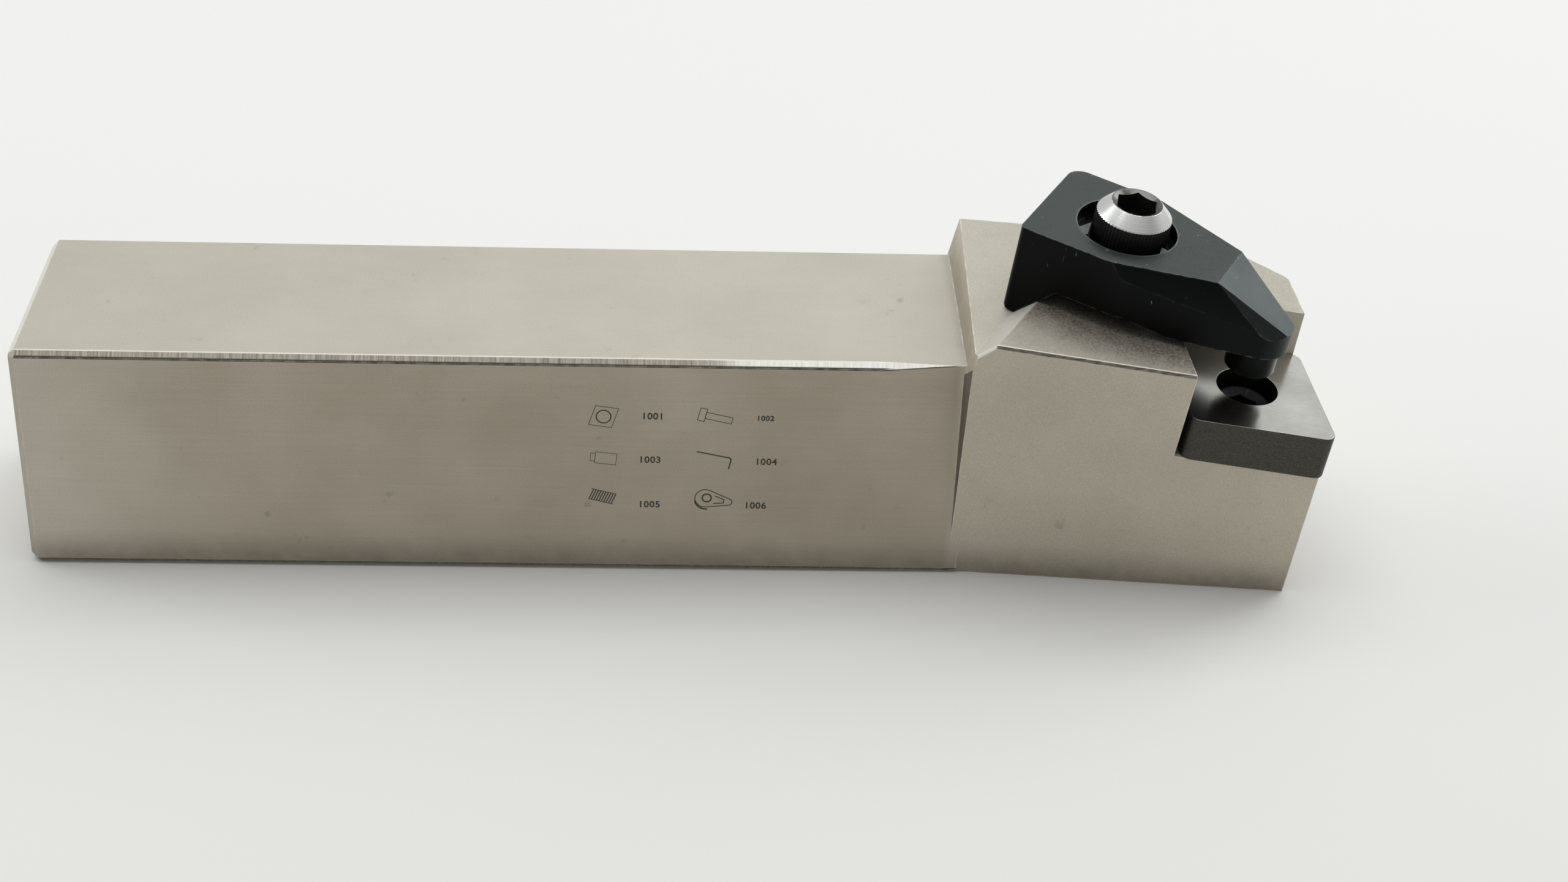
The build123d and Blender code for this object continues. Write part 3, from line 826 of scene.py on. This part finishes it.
def clamp_spring():
    """Compression spring: a tube of wire round a helix whose ends close up. The wire's centre climbs by
    just under the wire's thickness each turn in the dead turns at both ends, and evenly in between."""
    wire, coil = 0.55, 3.95  # radii of the wire and of the coil
    foot, rise, turns, dead = -7.4, 9.2, 6.5, 0.9
    around = 16
    along = np.linspace(0.0, 1.0, 521)
    turn = along * turns
    closed = 2 * wire * 0.98
    pitch = np.where((turn < dead) | (turn > turns - dead), closed, 1.0)
    free = (rise - 2 * dead * closed) / (turns - 2 * dead)
    pitch = np.where(pitch == closed, closed, free)
    height = np.concatenate([[0.0], np.cumsum(0.5 * (pitch[1:] + pitch[:-1]) * np.diff(turn))])
    height = foot + height * rise / height[-1]
    angle = turn * 2 * math.pi
    centre = np.stack([coil * np.cos(angle), coil * np.sin(angle), height], -1)
    forward = np.gradient(centre, axis=0)
    forward /= np.linalg.norm(forward, axis=1)[:, None]
    outward = np.stack([np.cos(angle), np.sin(angle), 0 * angle], -1)
    upward = np.cross(forward, outward)
    section = np.arange(around) * 2 * math.pi / around
    rings = (
        centre[:, None, :]
        + wire * np.cos(section)[None, :, None] * outward[:, None, :]
        - wire * np.sin(section)[None, :, None] * upward[:, None, :]
    )
    vertices, faces = closed_rings(rings, centre[0], centre[-1])
    return new_piece("clamp_spring", on_seat(vertices, clamp_foot, clamp_x), faces, [spring_wire_steel])


spring = clamp_spring()
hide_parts("spring")
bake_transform(spring)

# ---- parts legend on the near side of the shank -------------------------------------

near_side = -shank_side
mark_rise = 0.012 * MM


def stroke(points, width, closed=False):
    """Vertices and faces of a flat line of this width through points (x, z) in mm: each point is moved half
    the width to both sides along the mean of its neighbours' normals, and the band gets a thickness."""
    path = np.asarray(points, float)
    before = np.roll(path, 1, axis=0)
    after = np.roll(path, -1, axis=0)
    if not closed:
        before[0] = 2 * path[0] - path[1]
        after[-1] = 2 * path[-1] - path[-2]
    into = path - before
    out = after - path
    into /= np.linalg.norm(into, axis=1)[:, None]
    out /= np.linalg.norm(out, axis=1)[:, None]
    tangent = into + out
    tangent /= np.linalg.norm(tangent, axis=1)[:, None]
    miter = np.clip(np.einsum("ij,ij->i", tangent, out), 0.4, 1.0)
    normal = np.stack([-tangent[:, 1], tangent[:, 0]], -1) * (width / 2 / miter)[:, None]
    left, right = path + normal, path - normal
    count = len(path)
    flat = np.concatenate([left, right])
    front = np.column_stack([flat[:, 0] * MM, np.full(2 * count, near_side - mark_rise), flat[:, 1] * MM])
    back = front + (0.0, 2 * mark_rise, 0.0)
    vertices = np.concatenate([front, back])
    steps = np.arange(count if closed else count - 1)
    after_step = (steps + 1) % count
    rear = 2 * count
    quads = [
        np.stack([steps, after_step, after_step + count, steps + count], -1),
        np.stack([steps + rear + count, after_step + rear + count, after_step + rear, steps + rear], -1),
        np.stack([steps + rear, after_step + rear, after_step, steps], -1),
        np.stack([steps + count, after_step + count, after_step + count + rear, steps + count + rear], -1),
    ]
    faces = np.concatenate(quads).tolist()
    if not closed:
        faces.append([0, count, count + rear, rear])
        faces.append([count - 1, count - 1 + rear, 2 * count - 1 + rear, 2 * count - 1])
    return vertices, faces


def arc(centre, radius, start, end, steps=24):
    """Points on a circle's arc, angles in degrees."""
    angle = np.radians(np.linspace(start, end, steps))
    return np.column_stack([centre[0] + radius * np.cos(angle), centre[1] + radius * np.sin(angle)])


def tilted(strokes, x, z, angle):
    """The strokes turned about (x, z), the angle in degrees."""
    turn = math.radians(angle)
    cosine, sine = math.cos(turn), math.sin(turn)
    spin = np.array([[cosine, sine], [-sine, cosine]])
    middle = np.array([x, z])
    return [((np.asarray(line) - middle) @ spin + middle, width, closed) for line, width, closed in strokes]


def shim_icon(x, z):
    """Rhombus of 80 degrees round a circle."""
    side, lean = 3.0, math.radians(80.0)
    across = np.array([math.cos(lean), math.sin(lean)]) * side
    corner = np.array([x, z]) - (np.array([side, 0.0]) + across) / 2
    outline = [corner, corner + (side, 0), corner + (side, 0) + across, corner + across]
    return tilted([(outline, 0.08, True), (arc((x, z), 0.95, 0, 345, 28), 0.16, True)], x, z, -8.0)


def screw_icon(x, z, head, shank, lines, tilt):
    """Side view of a screw: head and shank outlines."""
    left = x - (head[0] + shank[0]) / 2
    neck = left + head[0]
    tip = neck + shank[0]
    boxes = [(left, neck, head[1] / 2), (neck, tip, shank[1] / 2)]
    outlines = [[(a, z - half), (b, z - half), (b, z + half), (a, z + half)] for a, b, half in boxes]
    return tilted([(outline, lines, True) for outline in outlines], x, z, tilt)


def key_icon(x, z):
    """Hexagon key: a long arm, a bend and a short arm."""
    bend = arc((x + 1.9, z + 0.25), 0.35, 90, 0, 7)
    path = np.concatenate([[(x - 2.4, z + 0.6)], bend, [(x + 2.25, z - 1.1)]])
    return tilted([(path, 0.17, False)], x, z, -12.0)


def spring_icon(x, z):
    """Slanted lines for the turns of a spring, with its two edges."""
    steps = np.linspace(-1.5, 1.5, 10)
    strokes = [([(x + s - 0.12, z - 0.8), (x + s + 0.12, z + 0.8)], 0.15, False) for s in steps]
    strokes.append(([(x - 1.7, z + 0.82), (x + 1.7, z + 0.82)], 0.08, False))
    strokes.append(([(x - 1.7, z - 0.82), (x + 1.7, z - 0.82)], 0.08, False))
    return tilted(strokes, x, z, -14.0)


def clamp_icon(x, z):
    """A clamp seen from above: a drop-shaped outline doubled along one side, its screw hole, and the nose."""
    outline = np.concatenate([
        arc((x - 1.1, z), 1.35, 75, 285, 20),
        arc((x + 2.0, z), 0.5, -75, 75, 9),
    ])
    lower = arc((x - 0.9, z - 0.1), 1.55, 200, 285, 12)
    hole = arc((x - 0.9, z + 0.1), 0.6, 0, 345, 24)
    inner = [(x + 0.1, z + 0.6), (x + 1.4, z + 0.25), (x + 1.4, z - 0.25), (x + 0.1, z - 0.6)]
    strokes = [(outline, 0.12, True), (lower, 0.22, False), (hole, 0.2, True), (inner, 0.14, False)]
    return tilted(strokes, x, z, -10.0)


def legend():
    """All the icons joined into one thin marking."""
    strokes = (
        shim_icon(75.6, 23.7)
        + screw_icon(90.1, 23.8, (0.9, 1.9), (3.5, 0.95), 0.09, -13.0)
        + screw_icon(75.6, 17.4, (0.6, 1.2), (2.8, 1.7), 0.07, -6.0)
        + key_icon(90.0, 17.5)
        + spring_icon(75.5, 11.5)
        + clamp_icon(90.1, 11.2)
    )
    vertices, faces, count = [], [], 0
    for points, width, closed in strokes:
        some, quads = stroke(points, width, closed)
        vertices.append(some)
        faces += [[index + count for index in quad] for quad in quads]
        count += len(some)
    return new_piece("parts_legend", np.concatenate(vertices), faces, [mark_ink])


def number(text, x, z, height):
    """A plain number as a thin mark whose lower left corner is at (x, z) on the near side."""
    figure_share = 0.7  # of the font's size
    curve = bpy.data.curves.new(f"number_{text}", "FONT")
    curve.body = text
    curve.size = height / figure_share * MM
    curve.extrude = mark_rise
    curve.offset = 0.03 * MM
    curve.space_character = 1.1
    source = bpy.data.objects.new(f"number_{text}", curve)
    bpy.context.collection.objects.link(source)
    bpy.context.view_layer.update()
    mesh = bpy.data.meshes.new_from_object(source)
    bpy.data.objects.remove(source)
    upright = Matrix.Rotation(math.radians(90.0), 4, "X")
    mesh.transform(Matrix.Translation((x * MM, near_side, z * MM)) @ upright)
    mesh.materials.clear()
    mesh.materials.append(mark_ink)
    piece = bpy.data.objects.new(f"legend_number_{text}", mesh)
    bpy.context.collection.objects.link(piece)
    return piece


marks = [
    legend(),
    number("1001", 80.5, 23.4, 0.95),
    number("1002", 95.4, 23.4, 0.75),
    number("1003", 80.2, 16.8, 0.95),
    number("1004", 95.4, 16.7, 0.95),
    number("1005", 80.2, 9.9, 0.95),
    number("1006", 94.2, 9.9, 0.95),
]
for mark in marks:
    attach(mark, "holder")

# ---- floor, light and camera ---------------------------------------------------------


def pale_floor():
    """A wide plain floor that the tool lies on, painted a little paler behind it and darker in front: a
    painted fall-off of light.
    """
    half = 3.0
    corners = [(-half, -half, 0.0), (half, -half, 0.0), (half, half, 0.0), (-half, half, 0.0)]
    material, n, surface = new_material("pale_floor", Roughness=0.7)
    surface.inputs["Specular IOR Level"].default_value = 0.2
    place = n.add("ShaderNodeSeparateXYZ")
    n.link(n.place(), place.inputs[0])
    # painted fall-off of light from front to back
    tone = n.ramp(place.outputs["Y"], -0.12, 0.12, smooth=True)
    n.link(n.mix(tone, (0.59, 0.592, 0.577, 1.0), (0.635, 0.64, 0.628, 1.0)), surface.inputs["Base Color"])
    floor = new_piece("floor", corners, [[0, 1, 2, 3]], [material])
    return floor


def soft_light(name, place, aim, size, power):
    """A large rectangular lamp at place, turned to shine at aim, both in metres."""
    lamp = bpy.data.lights.new(name, "AREA")
    lamp.shape = "RECTANGLE"
    lamp.size, lamp.size_y = size
    lamp.energy = power
    light = bpy.data.objects.new(name, lamp)
    bpy.context.collection.objects.link(light)
    light.location = place
    light.rotation_mode = "QUATERNION"
    light.rotation_quaternion = (Vector(aim) - Vector(place)).to_track_quat("-Z", "Y")
    light.visible_camera = False
    return light


def pale_world(strength, front_share):
    """Pale surroundings, darker in front of the tool (towards -Y) below the ceiling: the strength times the
    larger of a ramp over the direction's Y and a ramp over its height."""
    world = bpy.data.worlds.new("pale_surroundings")
    bpy.context.scene.world = world
    world.use_nodes = True
    n = Nodes(world.node_tree)
    background = world.node_tree.nodes["Background"]
    direction = n.add("ShaderNodeSeparateXYZ")
    n.link(n.add("ShaderNodeTexCoord").outputs["Generated"], direction.inputs[0])
    behind = n.ramp(direction.outputs["Y"], -0.5, 0.2, front_share, 1.0, smooth=True)
    above = n.ramp(direction.outputs["Z"], 0.45, 0.95, front_share, 1.0, smooth=True)
    share = n.math("MAXIMUM", behind, above)
    background.inputs["Color"].default_value = (1.0, 1.0, 0.985, 1.0)
    n.link(n.math("MULTIPLY", share, strength), background.inputs["Strength"])


def camera_for(place, forward, right, lens, shift):
    """A camera at place looking along forward with its right side along right. The lens is in millimetres,
    as is its 36 mm sensor, and the shift a share of the sensor's width."""
    ahead = Vector(forward).normalized()
    side = (Vector(right) - ahead * Vector(right).dot(ahead)).normalized()
    up = side.cross(ahead)
    data = bpy.data.cameras.new("view")
    data.lens = lens
    data.sensor_width = 36.0
    data.shift_x, data.shift_y = shift
    data.clip_start, data.clip_end = 0.01, 20.0
    camera = bpy.data.objects.new("view", data)
    bpy.context.collection.objects.link(camera)
    turn = Matrix((side, up, -ahead)).transposed().to_4x4()
    camera.matrix_world = Matrix.Translation(place) @ turn
    bpy.context.scene.camera = camera


pale_floor()
head_middle = (0.09, 0.0, 0.02)
soft_light("top_softbox", (0.08, 0.12, 1.2), head_middle, (1.3, 1.0), 10.5)
soft_light("back_softbox", (0.33, 0.74, 0.72), head_middle, (0.8, 0.5), 0.7)
soft_light("right_softbox", (0.85, 0.5, 0.62), head_middle, (0.5, 0.5), 3.0)
soft_light("left_softbox", (-0.75, 0.2, 0.5), head_middle, (0.5, 0.4), 1.9)
pale_world(0.6, 0.5)
camera_for(
    (0.080408, -0.317157, 0.202541),
    (0.04557, 0.85534, -0.51605),
    (0.99887, -0.03197, 0.03522),
    62.107,
    (0.0128, -0.0021),
)
bpy.context.scene.view_settings.view_transform = "Standard"
